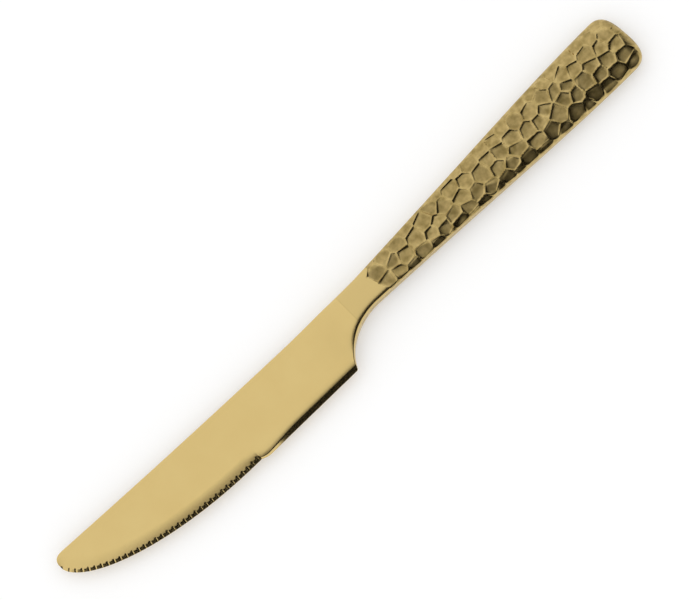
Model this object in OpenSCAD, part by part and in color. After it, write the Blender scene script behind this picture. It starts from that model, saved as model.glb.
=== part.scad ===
// Dessert knife: a forged, serrated blade whose tang is bedded in a hollow, hammered handle.
// The knife lies flat on a table with its tip at -X, its butt at +X and its spine towards +Y.
// The functions use the knife's own measures: s runs from the tip to the butt, y is taken from the
// handle's centre line towards the spine, and z from the plane in which the handle's shells meet.

/* [Length] */
// Blade and bolster, from the tip to the cross seam at the handle
blade_length = 104; // [92:1:120]
// Handle, from the cross seam to the butt
handle_length = 106; // [92:1:120]

/* [Blade outline] */
// From the cross seam forward to the heel corner
heel_setback = 9; // [7:0.5:12]
// Depth of the heel below the handle's centre line
heel_drop = 13.8; // [11.5:0.1:16]
// Radius of the heel corner
heel_radius = 0.8; // [0.4:0.1:1.5]
// Length of the curve between the heel and the neck
choil_length = 16; // [13:0.5:19]
// Length of the plain edge in front of the heel
plain_edge_length = 35.5; // [28:0.5:45]
// Rise of the plain edge over its own length
plain_edge_rise = 0.5; // [0:0.1:1.5]
// Step from the plain edge up to the serrated edge
serration_step = 0.8; // [0.3:0.1:1.5]
// Length over which that step is rounded
serration_step_run = 3; // [2:0.5:5]
// Height of the foremost point of the tip over the centre line
nose_height = 5; // [3:0.1:6]
// Length of the rounded nose along the spine
nose_length = 4; // [2.5:0.1:6]
// Height at which the spine reaches the tip, over the centre line
tip_rise = 8.5; // [7:0.1:10]
// From the cross seam forward to where the spine begins to rise
spine_bend_setback = 9; // [5:0.5:15]

/* [Blade section] */
// Thickness between the flat cheeks
blade_thickness = 2.2; // [1.6:0.1:2.8]
// Thickness left along the plain edge
edge_thickness = 0.3; // [0.2:0.05:0.6]
// Width of the bevel along the plain edge, on each cheek
bevel_width = 1.2; // [0.8:0.1:2]
// Length over which the bevel widens behind the teeth
bevel_run = 10; // [6:0.5:16]
// How far the cheeks are buffed down beside the bevel
cheek_roll = 0.4; // [0.1:0.05:0.5]
// Chamfer along the spine and the choil
rim_chamfer = 0.25; // [0.1:0.05:0.5]
// Length over which the cheeks swell into the bolster
bolster_length = 20; // [14:1:26]

/* [Serration] */
// Distance from tooth to tooth along the edge
tooth_pitch = 1.85; // [1.75:0.05:2.6]
// Thickness left at the point of each tooth
tooth_thickness = 0.4; // [0.3:0.05:0.6]
// Width of the narrow bevel along the teeth, on each cheek
tooth_bevel_width = 0.6; // [0.4:0.05:0.8]
// Radius of the grinding groove beside each tooth
groove_radius = 0.6; // [0.45:0.05:0.85]
// Depth of the groove at the edge, below the point of a tooth
groove_depth = 0.12; // [0.06:0.01:0.2]
// Length of the groove from the edge up the cheek
groove_length = 1.6; // [1.2:0.05:2]

/* [Handle] */
// Width at the narrow neck
neck_width = 9; // [8:0.1:11]
// Thickness at the narrow neck
neck_thickness = 5; // [4.4:0.1:6]
// Width at the butt
butt_width = 17.8; // [15:0.1:21]
// Thickness at the butt
butt_thickness = 7; // [6:0.1:9]
// Length of the rounded butt end
butt_round = 6; // [4:0.5:8]
// How far the butt's end slants back towards the spine
butt_slant = 0.8; // [0:0.1:1.5]
// Sheet thickness of the handle's shells
shell_wall = 0.8; // [0.6:0.05:1]

/* [Tang and joints] */
// Length of the spigot that plugs the handle's mouth
spigot_length = 4; // [3:0.5:7]
// Length of the tang behind the spigot
tang_length = 36; // [20:1:50]
// Width of the tang at the spigot
tang_width = 5; // [4:0.1:6]
// Width of the tang at its end
tang_end_width = 3.4; // [2.5:0.1:4]
// Thickness of the tang
tang_thickness = 2; // [1.6:0.1:2.4]
// Thickness of the brazing metal in the seams
braze_thickness = 0.2; // [0.1:0.05:0.3]
// Room between cemented or plugged surfaces
bond_gap = 0.05; // [0.03:0.01:0.1]

/* [Hammering] */
// Smooth length of the neck behind the cross seam
smooth_neck = 11.5; // [8:0.5:16]
// Spacing of the hammer marks along the handle
mark_length = 4.2; // [3.4:0.1:5.5]
// Spacing of the hammer marks across the handle
mark_width = 3.9; // [3.2:0.1:5.5]
// How far each mark strays from an even spacing
mark_scatter = 1.2; // [0:0.1:1.4]
// Depth of a mark's floor
mark_depth = 0.24; // [0.1:0.02:0.3]
// Width of a mark's sloping side
mark_side = 1.1; // [0.7:0.1:1.5]

/* [Hidden] */
// The heel corner turns through this angle, and the choil leaves it on a part of a quarter ellipse
heel_turn = 64;
choil_share = 0.94;
total_length = blade_length + handle_length;
heel_s = blade_length - heel_setback;
serration_s = heel_s - plain_edge_length;
choil_s = heel_s - heel_radius * (1 - sin(heel_turn));
choil_drop = heel_drop - heel_radius * (1 - cos(heel_turn));
choil_end_s = heel_s + choil_length;
spine_bend_s = blade_length - spine_bend_setback;
swell_s = blade_length - bolster_length;
mouth_s = blade_length + braze_thickness;
tang_s = blade_length + spigot_length;
widest_s = total_length - butt_round;
hammered_s = blade_length + smooth_neck;
belly_drop = heel_drop - plain_edge_rise - serration_step;
// The whole knife lies centred over its own box, on its lowest ridge
y_top = max(butt_width / 2, tip_rise);
y_bottom = max(butt_width / 2, heel_drop);
frame_shift = [-total_length / 2, (y_bottom - y_top) / 2, max(butt_thickness, neck_thickness) / 2];
// Curve shapes: roundness of the belly, the nose and the handle's section at its two ends
belly_power = 1.7;
nose_power = 3;
butt_power = 3;
neck_squareness = 6;
butt_squareness = 2.4;
// The part of the spine's rise that is straight; the rest is curved
spine_straight_share = 0.6;
// Points on half a section, and stations along each stretch
half_points = 10;
belly_stations = 30;
nose_stations = 7;
step_stations = 4;
bevel_stations = 2;
swell_stations = 6;
heel_stations = 6;
choil_stations = 12;
handle_stations = 9;
butt_stations = 5;
// Columns across a shell's hammered surface, and its stations along the neck, a mark and the butt
shell_columns = 24;
neck_stations = 5;
rings_per_mark = 4;
shell_butt_stations = 8;
// The marks fade out over the rim of a shell
rim_fade_power = 16;
// How far a cut runs past the face that it opens
cut_through = 1;
// Angle at which the rounded butt ends in a small flat
butt_last_angle = 78;
gold = [0.83, 0.73, 0.48];
brazing_gold = [0.72, 0.60, 0.34];
cement_grey = [0.72, 0.70, 0.66];

function unit_range(v) = min(1, max(0, v));
function smooth_step(v) = let(u = unit_range(v)) u * u * (3 - 2 * u);
function mix(a, b, w) = a + (b - a) * w;
// A rounded rise from 0 to 1 that starts straight and ends level
function eased_taper(v) = let(u = unit_range(v)) u + pow(u, 3) - pow(u, 4);

// Blade outline in plan
function spine_y(s) =
    let(u = unit_range((spine_bend_s - s) / spine_bend_s))
    neck_width / 2 + (tip_rise - neck_width / 2)
        * (spine_straight_share * u + (1 - spine_straight_share) * u * u);
function back_y(s) =
    s >= nose_length ? spine_y(s)
    : mix(nose_height, spine_y(s),
          pow(1 - pow(1 - s / nose_length, nose_power), 1 / nose_power));
function belly_y(s) =
    let(u = unit_range((serration_s - s) / serration_s))
    mix(-belly_drop, nose_height, 1 - pow(1 - u * u, 1 / belly_power));
function plain_edge_y(s) =
    -heel_drop + plain_edge_rise * (heel_s - s) / plain_edge_length
    + serration_step * pow(unit_range(1 - (s - serration_s) / serration_step_run), 2);
function heel_y(s) =
    let(across = s - heel_s + heel_radius)
    -heel_drop + heel_radius - sqrt(max(0, heel_radius * heel_radius - across * across));
function ellipse_rise(u) = sqrt(1 - pow(choil_share * u, 2));
function choil_y(s) =
    let(u = unit_range((choil_end_s - s) / (choil_end_s - choil_s)))
    mix(-choil_drop, -handle_half_width(s), (ellipse_rise(u) - ellipse_rise(1)) / (1 - ellipse_rise(1)));
function edge_y(s) =
    s <= serration_s ? belly_y(s)
    : s <= heel_s - heel_radius ? plain_edge_y(s)
    : s <= choil_s ? heel_y(s)
    : s <= choil_end_s ? choil_y(s)
    : -handle_half_width(s);

// Handle outline and thickness; the edge side flares into the choil at the neck
function taper_share(s) = eased_taper((s - choil_end_s) / (widest_s - choil_end_s));
function butt_close(s) = pow(1 - pow(unit_range((s - widest_s) / butt_reach), butt_power), 1 / butt_power);
butt_reach = butt_round / pow(sin(butt_last_angle), 2 / butt_power);
function handle_half_width(s) = mix(neck_width, butt_width, taper_share(s)) / 2 * butt_close(s);
function handle_half_height(s) =
    mix(neck_thickness, butt_thickness, taper_share(s)) / 2 * butt_close(s);
function squareness(s) = mix(neck_squareness, butt_squareness, taper_share(s));
function handle_y(s, side) = side > 0 ? handle_half_width(s) : -edge_y(max(s, heel_s));

// Sections are rings of [y, z] points: the upper half from spine to edge, then the lower half back
function signed_power(v, p) = sign(v) * pow(abs(v), p);
function half_angle(j) = (j + 0.5) * 180 / half_points;
function mirrored(half) = concat(half, [for (j = [len(half) - 1 : -1 : 0]) [half[j].x, -half[j].y]]);
function rounded_half(spine_reach, edge_reach, height, square) =
    let(p = 2 / square,
        side = signed_power(cos(half_angle(0)), p),
        crown = pow(sin(half_angle(half_points / 2)), p))
    [for (j = [0 : half_points - 1])
        let(c = signed_power(cos(half_angle(j)), p) / side)
        [c * (c > 0 ? spine_reach : edge_reach), height * pow(sin(half_angle(j)), p) / crown]];
function handle_half(s, inset) =
    rounded_half(handle_y(s, 1) - inset, handle_y(s, -1) - inset, handle_half_height(s) - inset,
                 squareness(s));

// Cheeks swell into the bolster near the neck and stay flat towards the heel's edge
swell_fade_depth = heel_drop + neck_width / 2;
function cheek_z(s, y) =
    blade_thickness / 2 + (neck_thickness - blade_thickness) / 2
        * smooth_step((s - swell_s) / bolster_length)
        * smooth_step((y + heel_drop - bevel_width) / (swell_fade_depth - bevel_width));
// A bevel of even width is longer across the blade where the belly slopes
belly_slope_step = 0.05;
function belly_stretch(s) =
    let(slope = (belly_y(s + belly_slope_step) - belly_y(s)) / belly_slope_step)
    sqrt(1 + slope * slope);
// Most that the bevel and the chamfer take of the narrow nose
narrow_bevel_share = 0.45;
narrow_chamfer_share = 0.12;
// The bevel is narrow and the edge blunt along the teeth; both pass into the plain edge's behind them
function plain_share(s) = smooth_step((s - serration_s) / bevel_run);
function bevel_at(s) = mix(tooth_bevel_width, bevel_width, plain_share(s));
function half_edge_at(s) = mix(tooth_thickness, edge_thickness, plain_share(s)) / 2;
function plate_half(s) =
    let(back = back_y(s), edge = edge_y(s), width = back - edge,
        chamfer = min(rim_chamfer, width * narrow_chamfer_share),
        ground = s <= heel_s - heel_radius,
        bevel_left = ground ? 1 : unit_range(1 - (edge + heel_drop) / bevel_width),
        bevel = ground ? min(bevel_at(s) * belly_stretch(s), width * narrow_bevel_share)
                : max(chamfer, bevel_width * bevel_left),
        edge_z = ground ? half_edge_at(s)
                 : min(cheek_z(s, edge) - chamfer,
                       mix(blade_thickness / 2 - chamfer, edge_thickness / 2, bevel_left)),
        inner = back - chamfer, outer = edge + bevel, last = half_points - 3)
    concat([[back, cheek_z(s, back) - chamfer]],
           [for (j = [0 : last])
               let(y = mix(inner, outer, j / last), roll = j == last ? cheek_roll * bevel_left : 0)
               [y, cheek_z(s, y) - roll]],
           [[edge, edge_z]]);
// From the heel to the cross seam the blade's section turns into the handle's
function blade_half(s) =
    let(w = smooth_step((s - heel_s) / heel_setback))
    w == 0 ? plate_half(s) : mix(plate_half(s), handle_half(min(s, blade_length), 0), w);

// A loft through rings, each placed at its own station; the butt's stations slant with its end
function slanted_s(s, y) =
    s - butt_slant * unit_range((s - widest_s) / butt_round) * y / butt_width;
function placed(s, ring) = [for (p = ring) [slanted_s(s, p.x), p.x, p.y]];
module loft(rings) {
    count = len(rings[0]);
    last = len(rings) - 1;
    points = [for (ring = rings) each ring];
    sides = [for (k = [0 : last - 1], j = [0 : count - 1])
        let(a = k * count + j, b = k * count + (j + 1) % count)
        each [[a, b + count, b], [a, a + count, b + count]]];
    first_cap = [for (j = [0 : count - 1]) j];
    last_cap = [for (j = [count - 1 : -1 : 0]) last * count + j];
    polyhedron(points, concat(sides, [first_cap, last_cap]));
}

// Stations along the blade, closer together where its outline turns
nose_start = 0.06;
blade_stations = concat(
    [for (k = [0 : nose_stations]) mix(nose_start, nose_length, 1 - cos(90 * k / nose_stations))],
    [for (k = [1 : belly_stations]) mix(nose_length, serration_s, k / belly_stations)],
    [for (k = [1 : step_stations]) serration_s + serration_step_run * k / step_stations],
    [for (k = [1 : bevel_stations]) serration_s + mix(serration_step_run, bevel_run, k / bevel_stations)],
    [for (k = [0 : swell_stations]) mix(swell_s, heel_s - heel_radius, k / swell_stations)],
    [for (k = [1 : heel_stations])
        heel_s - heel_radius + heel_radius * sin(heel_turn * k / heel_stations)],
    [for (k = [1 : choil_stations])
        mix(choil_s, blade_length, 1 - cos(90 * k / choil_stations))]);
// Stations along the handle: the flared neck, the long taper and the rounded butt
function handle_stops(from) = concat([from], [for (s = concat(
    [for (k = [1 : 3]) mix(mouth_s, choil_end_s, k / 3)],
    [for (k = [1 : handle_stations]) mix(choil_end_s, widest_s, k / handle_stations)],
    [for (k = [1 : butt_stations])
        widest_s + butt_reach * pow(sin(butt_last_angle * k / butt_stations), 2 / butt_power)]))
    if (s > from + 0.1) s]);

module handle_solid(inset, from) {
    loft([for (s = handle_stops(from))
        placed(s > widest_s ? s - inset * (s - widest_s) / butt_round : s,
               mirrored(handle_half(s, inset * (s > widest_s ? butt_close(s) : 1))))]);
}

module handle_outline(inset, from) {
    stops = handle_stops(from);
    function rim(s, side) =
        let(past = s > widest_s,
            y = side * (handle_y(s, side) - inset * (past ? butt_close(s) : 1)))
        [slanted_s(past ? s - inset * (s - widest_s) / butt_round : s, y), y];
    polygon(concat([for (s = stops) rim(s, 1)],
                   [for (k = [len(stops) - 1 : -1 : 0]) rim(stops[k], -1)]));
}

// The tang, or with a gap the slot that it leaves in the filler; root runs back into the spigot
module tang(gap, root) {
    from = tang_s - root;
    to = tang_s + tang_length;
    linear_extrude(tang_thickness + 2 * gap, center = true)
        polygon([[from, tang_width / 2 + gap], [to, tang_end_width / 2 + gap],
                 [to + gap + tang_end_width / 4, tang_end_width / 4 + gap / 2],
                 [to + gap + tang_end_width / 4, -tang_end_width / 4 - gap / 2],
                 [to, -tang_end_width / 2 - gap], [from, -tang_width / 2 - gap]]);
}

// Teeth stand at even distances along the belly, found by walking short steps from the plain edge
walk_step = 0.25;
walk_points = [for (s = [serration_s : -walk_step : nose_start]) [s, belly_y(s)]];
function walk_lengths(k = 0, sum = 0) =
    k >= len(walk_points) - 1 ? [sum]
    : concat([sum], walk_lengths(k + 1, sum + norm(walk_points[k + 1] - walk_points[k])));
walked = walk_lengths();
function walk_index(distance, k = 0) =
    k >= len(walked) - 2 || walked[k + 1] > distance ? k : walk_index(distance, k + 1);
module serration_grooves() {
    floor_z = tooth_thickness / 2 - groove_depth;
    groove_angle = atan((blade_thickness / 2 - floor_z) / groove_length);
    for (distance = [tooth_pitch / 2 : tooth_pitch : walked[len(walked) - 1] - tooth_pitch / 2]) {
        k = walk_index(distance);
        along = (walk_points[k + 1] - walk_points[k]) / (walked[k + 1] - walked[k]);
        edge = walk_points[k] + along * (distance - walked[k]);
        outward = atan2(along.x, -along.y);
        translate([edge.x, edge.y, floor_z])
            rotate([0, groove_angle - 90, outward])
                translate([groove_radius, 0, 0])
                    cylinder(r = groove_radius, h = 4 * groove_length, center = true, $fn = 32);
    }
}

// Hammer marks: a scattered lattice of seeds; the points that lie nearest to a seed are its mark.
// The first row of seeds lies on the smooth neck and isn't struck, so the marks begin as whole cells
function scatter(i, j, face) = let(v = sin(i * 127.1 + j * 311.7 + face * 74.7) * 43758.5453) v - floor(v);
function mark_seed(i, j, face) =
    [hammered_s + (i - 0.5) * mark_length + mark_scatter * (2 * scatter(i, j, face) - 1),
     (j + (i % 2) / 2) * mark_width + mark_scatter * (2 * scatter(j + 40, i, face) - 1)];
function seeds_near(p, face) =
    let(row = round((p.x - hammered_s) / mark_length + 0.5))
    [for (i = [max(0, row - 2) : row + 2])
        let(column = round(p.y / mark_width - (i % 2) / 2))
        each [for (j = [column - 2 : column + 2]) mark_seed(i, j, face)]];
// Depth at a point, from its distance to the border of its own mark; the crests between marks are sharp
function mark_drop(p, face) =
    let(seeds = seeds_near(p, face),
        reach = min([for (seed = seeds) norm(p - seed)]),
        own = [for (seed = seeds) if (norm(p - seed) == reach) seed][0],
        border = min([for (seed = seeds) if (seed != own)
            ((p - seed) * (p - seed) - reach * reach) / 2 / norm(seed - own)]))
    own.x <= hammered_s ? 0 : mark_depth * (1 - pow(1 - unit_range(border / mark_side), 2));

// The outer surface of a shell: columns from the spine rim to the edge rim, dented by the marks
function column_share(c) = sin(90 * (1 - 2 * c / shell_columns));
function shell_ring(s, face) =
    [for (c = [0 : shell_columns])
        let(u = column_share(c), q = squareness(s), y = u * handle_y(s, u),
            z = handle_half_height(s) * pow(1 - pow(abs(u), q), 1 / q))
        [y, max(braze_thickness / 2, z - mark_drop([s, y], face) * (1 - pow(u, rim_fade_power)))]];
// The first marks reach a little forward of where the hammering starts
marks_from_s = hammered_s - mark_scatter;
shell_stops = concat(
    [for (k = [0 : neck_stations - 1]) mix(mouth_s, marks_from_s, k / neck_stations)],
    [for (s = [marks_from_s : mark_length / rings_per_mark : widest_s - mark_length / rings_per_mark / 2]) s],
    [for (k = [0 : shell_butt_stations])
        widest_s + butt_reach * pow(sin(butt_last_angle * k / shell_butt_stations), 2 / butt_power)]);

// One pressed half shell, face up; the lower shell is another pressing, turned over
module half_shell(face) {
    difference() {
        loft([for (s = shell_stops) placed(s, shell_ring(s, face))]);
        handle_solid(shell_wall, blade_length - cut_through);
    }
}

module blade() {
    spigot_inset = shell_wall + bond_gap;
    spigot_stops = [blade_length, mix(blade_length, tang_s, 0.5), tang_s];
    color(gold) translate(frame_shift) {
        difference() {
            loft(concat([for (s = blade_stations) placed(s, mirrored(blade_half(s)))],
                        [for (s = spigot_stops) placed(s, mirrored(handle_half(s, spigot_inset)))]));
            serration_grooves();
        }
        tang(0, spigot_length / 2);
    }
}

module handle_upper_shell() {
    color(gold) translate(frame_shift) half_shell(0);
}

module handle_lower_shell() {
    color(gold) translate(frame_shift) mirror([0, 0, 1]) half_shell(1);
}

module handle_seam_braze() {
    color(brazing_gold) translate(frame_shift)
        linear_extrude(braze_thickness, center = true) difference() {
            handle_outline(0, mouth_s);
            handle_outline(shell_wall, blade_length - cut_through);
        }
}

module neck_braze() {
    color(brazing_gold) translate(frame_shift) translate([blade_length, 0, 0])
        rotate([90, 0, 90]) linear_extrude(braze_thickness) difference() {
            polygon(mirrored(handle_half(blade_length, 0)));
            polygon(mirrored(handle_half(blade_length, shell_wall)));
        }
}

module handle_filler() {
    color(cement_grey) translate(frame_shift) difference() {
        handle_solid(shell_wall + bond_gap, tang_s + bond_gap);
        tang(bond_gap, bond_gap);
    }
}

blade();
handle_upper_shell();
handle_lower_shell();
handle_seam_braze();
neck_braze();
handle_filler();
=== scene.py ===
# %% [markdown]
# # A dessert knife with a hammered handle
# The real knife is a forged steel blade with teeth ground along its belly. Its tang is cemented into a
# hollow handle of two pressed half shells, brazed together along the sides and around the neck. The
# whole knife has a gold-coloured coating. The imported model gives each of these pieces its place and
# size. This lesson rebuilds the pieces that show as fine meshes, because low facets would show at
# once in polished metal, and then gives every piece its finish.

# %% Load the frame
import math

import bmesh
import bpy
import numpy as np
from mathutils import Matrix, Vector, kdtree


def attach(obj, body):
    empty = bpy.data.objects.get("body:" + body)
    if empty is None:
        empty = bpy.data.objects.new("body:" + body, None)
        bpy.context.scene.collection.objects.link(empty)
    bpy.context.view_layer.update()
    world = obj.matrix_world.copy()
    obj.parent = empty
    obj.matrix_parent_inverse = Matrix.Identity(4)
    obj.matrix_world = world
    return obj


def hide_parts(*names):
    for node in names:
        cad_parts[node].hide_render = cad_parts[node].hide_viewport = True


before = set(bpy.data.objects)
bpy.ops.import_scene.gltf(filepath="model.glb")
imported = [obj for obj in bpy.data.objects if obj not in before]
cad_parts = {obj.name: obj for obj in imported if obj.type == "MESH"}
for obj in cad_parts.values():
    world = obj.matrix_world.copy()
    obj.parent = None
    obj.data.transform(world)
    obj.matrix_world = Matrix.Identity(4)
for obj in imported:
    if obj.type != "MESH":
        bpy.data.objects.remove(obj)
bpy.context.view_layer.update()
MM = 0.001

# %% [markdown]
# The camera comes first. It hangs nearly straight over the knife and leans a little towards the
# cutting edge, so that the near side of the handle shows as a thin band. The knife climbs from the
# lower left to the upper right: the camera is rolled by that angle. A long lens from a metre away
# keeps both ends of the knife at the same scale.

# %% Camera
CAMERA_LEAN = math.radians(13)
KNIFE_CLIMB = math.radians(44.8)
CAMERA_DISTANCE = 1.0
PICTURE_WIDTH = 186.2 * MM
PICTURE_CENTRE = Vector((0.38, 5.06, 3.5)) * MM
SENSOR_WIDTH = 36
NEAREST_SEEN = 0.01

along = Vector((1, 0, 0))
across = Vector((0, math.cos(CAMERA_LEAN), math.sin(CAMERA_LEAN)))
towards_camera = along.cross(across)
right = along * math.cos(KNIFE_CLIMB) - across * math.sin(KNIFE_CLIMB)
up = along * math.sin(KNIFE_CLIMB) + across * math.cos(KNIFE_CLIMB)
camera_data = bpy.data.cameras.new("camera")
camera_data.sensor_width = SENSOR_WIDTH
camera_data.lens = SENSOR_WIDTH * CAMERA_DISTANCE / PICTURE_WIDTH
camera_data.clip_start = NEAREST_SEEN
camera = bpy.data.objects.new("camera", camera_data)
camera.matrix_world = Matrix.Translation(PICTURE_CENTRE + towards_camera * CAMERA_DISTANCE) @ Matrix(
    (right, up, towards_camera)).transposed().to_4x4()
bpy.context.scene.collection.objects.link(camera)
bpy.context.scene.camera = camera
print("lens in mm:", round(camera_data.lens, 1))

# %% [markdown]
# The knife's sizes, in millimetres. The outlines use the knife's own measures: s runs from the tip to
# the butt, y is taken from the handle's centre line towards the spine, and z from the plane in which
# the two shells meet. One shift then takes a point of the knife into the frame.

# %% Sizes
BLADE_LENGTH, HANDLE_LENGTH = 104, 106
TOTAL_LENGTH = BLADE_LENGTH + HANDLE_LENGTH
HEEL_S, HEEL_DROP, HEEL_RADIUS, HEEL_TURN = BLADE_LENGTH - 9, 13.8, 0.8, math.radians(64)
CHOIL_S = HEEL_S - HEEL_RADIUS * (1 - math.sin(HEEL_TURN))
CHOIL_DROP = HEEL_DROP - HEEL_RADIUS * (1 - math.cos(HEEL_TURN))
CHOIL_END_S, CHOIL_SHARE = HEEL_S + 16, 0.94
PLAIN_EDGE_LENGTH, PLAIN_EDGE_RISE = 35.5, 0.5
SERRATION_S, SERRATION_STEP, STEP_RUN = HEEL_S - PLAIN_EDGE_LENGTH, 0.8, 3
BELLY_DROP = HEEL_DROP - PLAIN_EDGE_RISE - SERRATION_STEP
NOSE_HEIGHT, NOSE_LENGTH, NOSE_START = 5, 4, 0.06
TIP_RISE, SPINE_BEND_S = 8.5, BLADE_LENGTH - 9
SWELL_S, BOLSTER_LENGTH = BLADE_LENGTH - 20, 20
BLADE_THICKNESS, CHEEK_ROLL = 2.2, 0.4
EDGE_THICKNESS, BEVEL_WIDTH, BEVEL_RUN = 0.3, 1.2, 10
TOOTH_THICKNESS, TOOTH_BEVEL_WIDTH = 0.4, 0.75
NECK_WIDTH, NECK_THICKNESS, NECK_SQUARENESS = 9, 5, 6
BUTT_WIDTH, BUTT_THICKNESS, BUTT_SQUARENESS = 17.8, 7, 2.4
BUTT_ROUND, BUTT_SLANT = 6, 0.8
WIDEST_S = TOTAL_LENGTH - BUTT_ROUND
WALL, BRAZE, BOND_GAP = 0.8, 0.2, 0.05
MOUTH_S = BLADE_LENGTH + BRAZE
HAMMERED_S = BLADE_LENGTH + 11.5
FRAME_SHIFT = np.array([-TOTAL_LENGTH / 2, (HEEL_DROP - BUTT_WIDTH / 2) / 2, BUTT_THICKNESS / 2])
print("tip at", -TOTAL_LENGTH / 2, "mm, hammering starts at", HAMMERED_S - TOTAL_LENGTH / 2, "mm")

# %% [markdown]
# Every visible piece is a loft: rings of points, one ring at each station, with quads between
# neighbouring rings and a cap on each end. Blender's own modifiers could bevel and dent a simple
# mesh, but here each point is placed by the same formulas as the construction, so the fine mesh follows
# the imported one. A few finishes differ from it. The bevel and the grooves of the teeth are a little
# larger, the plain bevel starts thin and the cheek rolls off less beside it, and the hammer marks are
# deeper and lie aslant. A loft whose faces look inwards is turned right side out.

# %% Loft helper
def mix(a, b, share):
    return a + (b - a) * share


def smooth_step(value):
    u = np.clip(value, 0, 1)
    return u * u * (3 - 2 * u)


def loft(name, rings, ring_of_rings=False, outer_points=None):
    """Skins rings of points in knife millimetres; outer_points splits the last cap of a thin shell."""
    stations, points = rings.shape[:2]
    corners = ((rings.reshape(-1, 3) + FRAME_SHIFT) * MM).tolist()
    station = np.arange(stations if ring_of_rings else stations - 1)
    here = (station[:, None] * points + np.arange(points)).ravel()
    beside = (station[:, None] * points + (np.arange(points) + 1) % points).ravel()
    here_next, beside_next = (here + points) % len(corners), (beside + points) % len(corners)
    faces = np.stack([here, here_next, beside_next, beside], axis=1).tolist()
    if not ring_of_rings:
        last = (stations - 1) * points + np.arange(points)
        faces.append(list(range(points)))
        if outer_points is None:
            faces.append(last[::-1].tolist())
        else:
            faces.append(last[:outer_points][::-1].tolist())
            faces.append(last[outer_points:][::-1].tolist())
            faces.append([int(last[k]) for k in (points - 1, outer_points, outer_points - 1, 0)])
    mesh = bpy.data.meshes.new(name)
    mesh.from_pydata(corners, [], faces)
    solid = bmesh.new()
    solid.from_mesh(mesh)
    if solid.calc_volume(signed=True) < 0:
        mesh.flip_normals()
    solid.free()
    mesh.shade_smooth()
    piece = bpy.data.objects.new(name, mesh)
    bpy.context.scene.collection.objects.link(piece)
    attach(piece, "root")
    return piece


def keep_crisp(piece, angle):
    """Edges that turn by more than the angle stay sharp in the smooth shading."""
    piece.data.set_sharp_from_angle(angle=math.radians(angle))
    print(piece.name, "faces:", len(piece.data.polygons))


# %% [markdown]
# The outlines of the handle and the blade, seen from above. The handle widens in one long eased
# taper. Its section is a superellipse: a rounded rectangle that has flat faces near the neck and is
# rounder at the butt, whose end slants a little. The blade's spine is nearly straight, its belly sweeps
# up to a blunt nose, and a small round corner at the heel leads into the hollow behind it.

# %% Outlines
BELLY_POWER, NOSE_POWER, BUTT_POWER = 1.7, 3, 3
SPINE_STRAIGHT_SHARE = 0.6


def taper_share(s):
    u = np.clip((s - CHOIL_END_S) / (WIDEST_S - CHOIL_END_S), 0, 1)
    return u + u ** 3 - u ** 4


def butt_close(s):
    return (1 - np.clip((s - WIDEST_S) / BUTT_ROUND, 0, 1) ** BUTT_POWER) ** (1 / BUTT_POWER)


def slanted(s, y):
    """Stations near the butt slant with its end, which is shorter on the spine side."""
    return s - BUTT_SLANT * np.clip((s - WIDEST_S) / BUTT_ROUND, 0, 1) * y / BUTT_WIDTH


def half_width(s):
    return mix(NECK_WIDTH, BUTT_WIDTH, taper_share(s)) / 2 * butt_close(s)


def half_height(s):
    return mix(NECK_THICKNESS, BUTT_THICKNESS, taper_share(s)) / 2 * butt_close(s)


def squareness(s):
    return mix(NECK_SQUARENESS, BUTT_SQUARENESS, taper_share(s))


def back_y(s):
    u = np.clip((SPINE_BEND_S - s) / SPINE_BEND_S, 0, 1)
    rise = SPINE_STRAIGHT_SHARE * u + (1 - SPINE_STRAIGHT_SHARE) * u * u
    spine = NECK_WIDTH / 2 + (TIP_RISE - NECK_WIDTH / 2) * rise
    nose = (1 - np.clip(1 - s / NOSE_LENGTH, 0, 1) ** NOSE_POWER) ** (1 / NOSE_POWER)
    return mix(NOSE_HEIGHT, spine, nose)


def belly_y(s):
    u = np.clip((SERRATION_S - s) / SERRATION_S, 0, 1)
    return mix(-BELLY_DROP, NOSE_HEIGHT, 1 - (1 - u * u) ** (1 / BELLY_POWER))


def plain_edge_y(s):
    step = SERRATION_STEP * np.clip(1 - (s - SERRATION_S) / STEP_RUN, 0, 1) ** 2
    return -HEEL_DROP + PLAIN_EDGE_RISE * (HEEL_S - s) / PLAIN_EDGE_LENGTH + step


def heel_y(s):
    across_corner = np.clip((s - HEEL_S) / HEEL_RADIUS + 1, 0, 1)
    corner = -HEEL_DROP + HEEL_RADIUS * (1 - np.sqrt(1 - across_corner ** 2))
    return np.maximum(corner, plain_edge_y(HEEL_S - HEEL_RADIUS))


def choil_y(s):
    u = np.clip((CHOIL_END_S - s) / (CHOIL_END_S - CHOIL_S), 0, 1)
    least = math.sqrt(1 - CHOIL_SHARE ** 2)
    return mix(-CHOIL_DROP, -half_width(s), (np.sqrt(1 - (CHOIL_SHARE * u) ** 2) - least) / (1 - least))


def edge_y(s):
    return np.select(
        [s <= SERRATION_S, s <= HEEL_S - HEEL_RADIUS, s <= CHOIL_S],
        [belly_y(s), plain_edge_y(s), heel_y(s)], choil_y(s))


def side_reach(s, side):
    """Reach from the centre line behind the heel: to the spine where side is positive, else to the edge."""
    return np.where(side > 0, half_width(s), -edge_y(np.maximum(s, HEEL_S)))


print("blade width at the heel in mm:", round(float(back_y(CHOIL_S) + CHOIL_DROP), 2))

# %% [markdown]
# The blade's stations lie a tenth of a millimetre apart along the toothed belly and further apart
# along the plain edge. Walking the belly in even steps of its own length, not in even steps of s,
# keeps the teeth equally fine where the edge turns up to the nose.

# %% Blade stations
BELLY_STEP, PLAIN_STEP, CHOIL_STEP = 0.11, 0.5, 0.3
OUTLINE_STEP = 0.04
HEEL_STATIONS = 12
BELLY_SAMPLES, CHOIL_SAMPLES = 4000, 400


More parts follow.
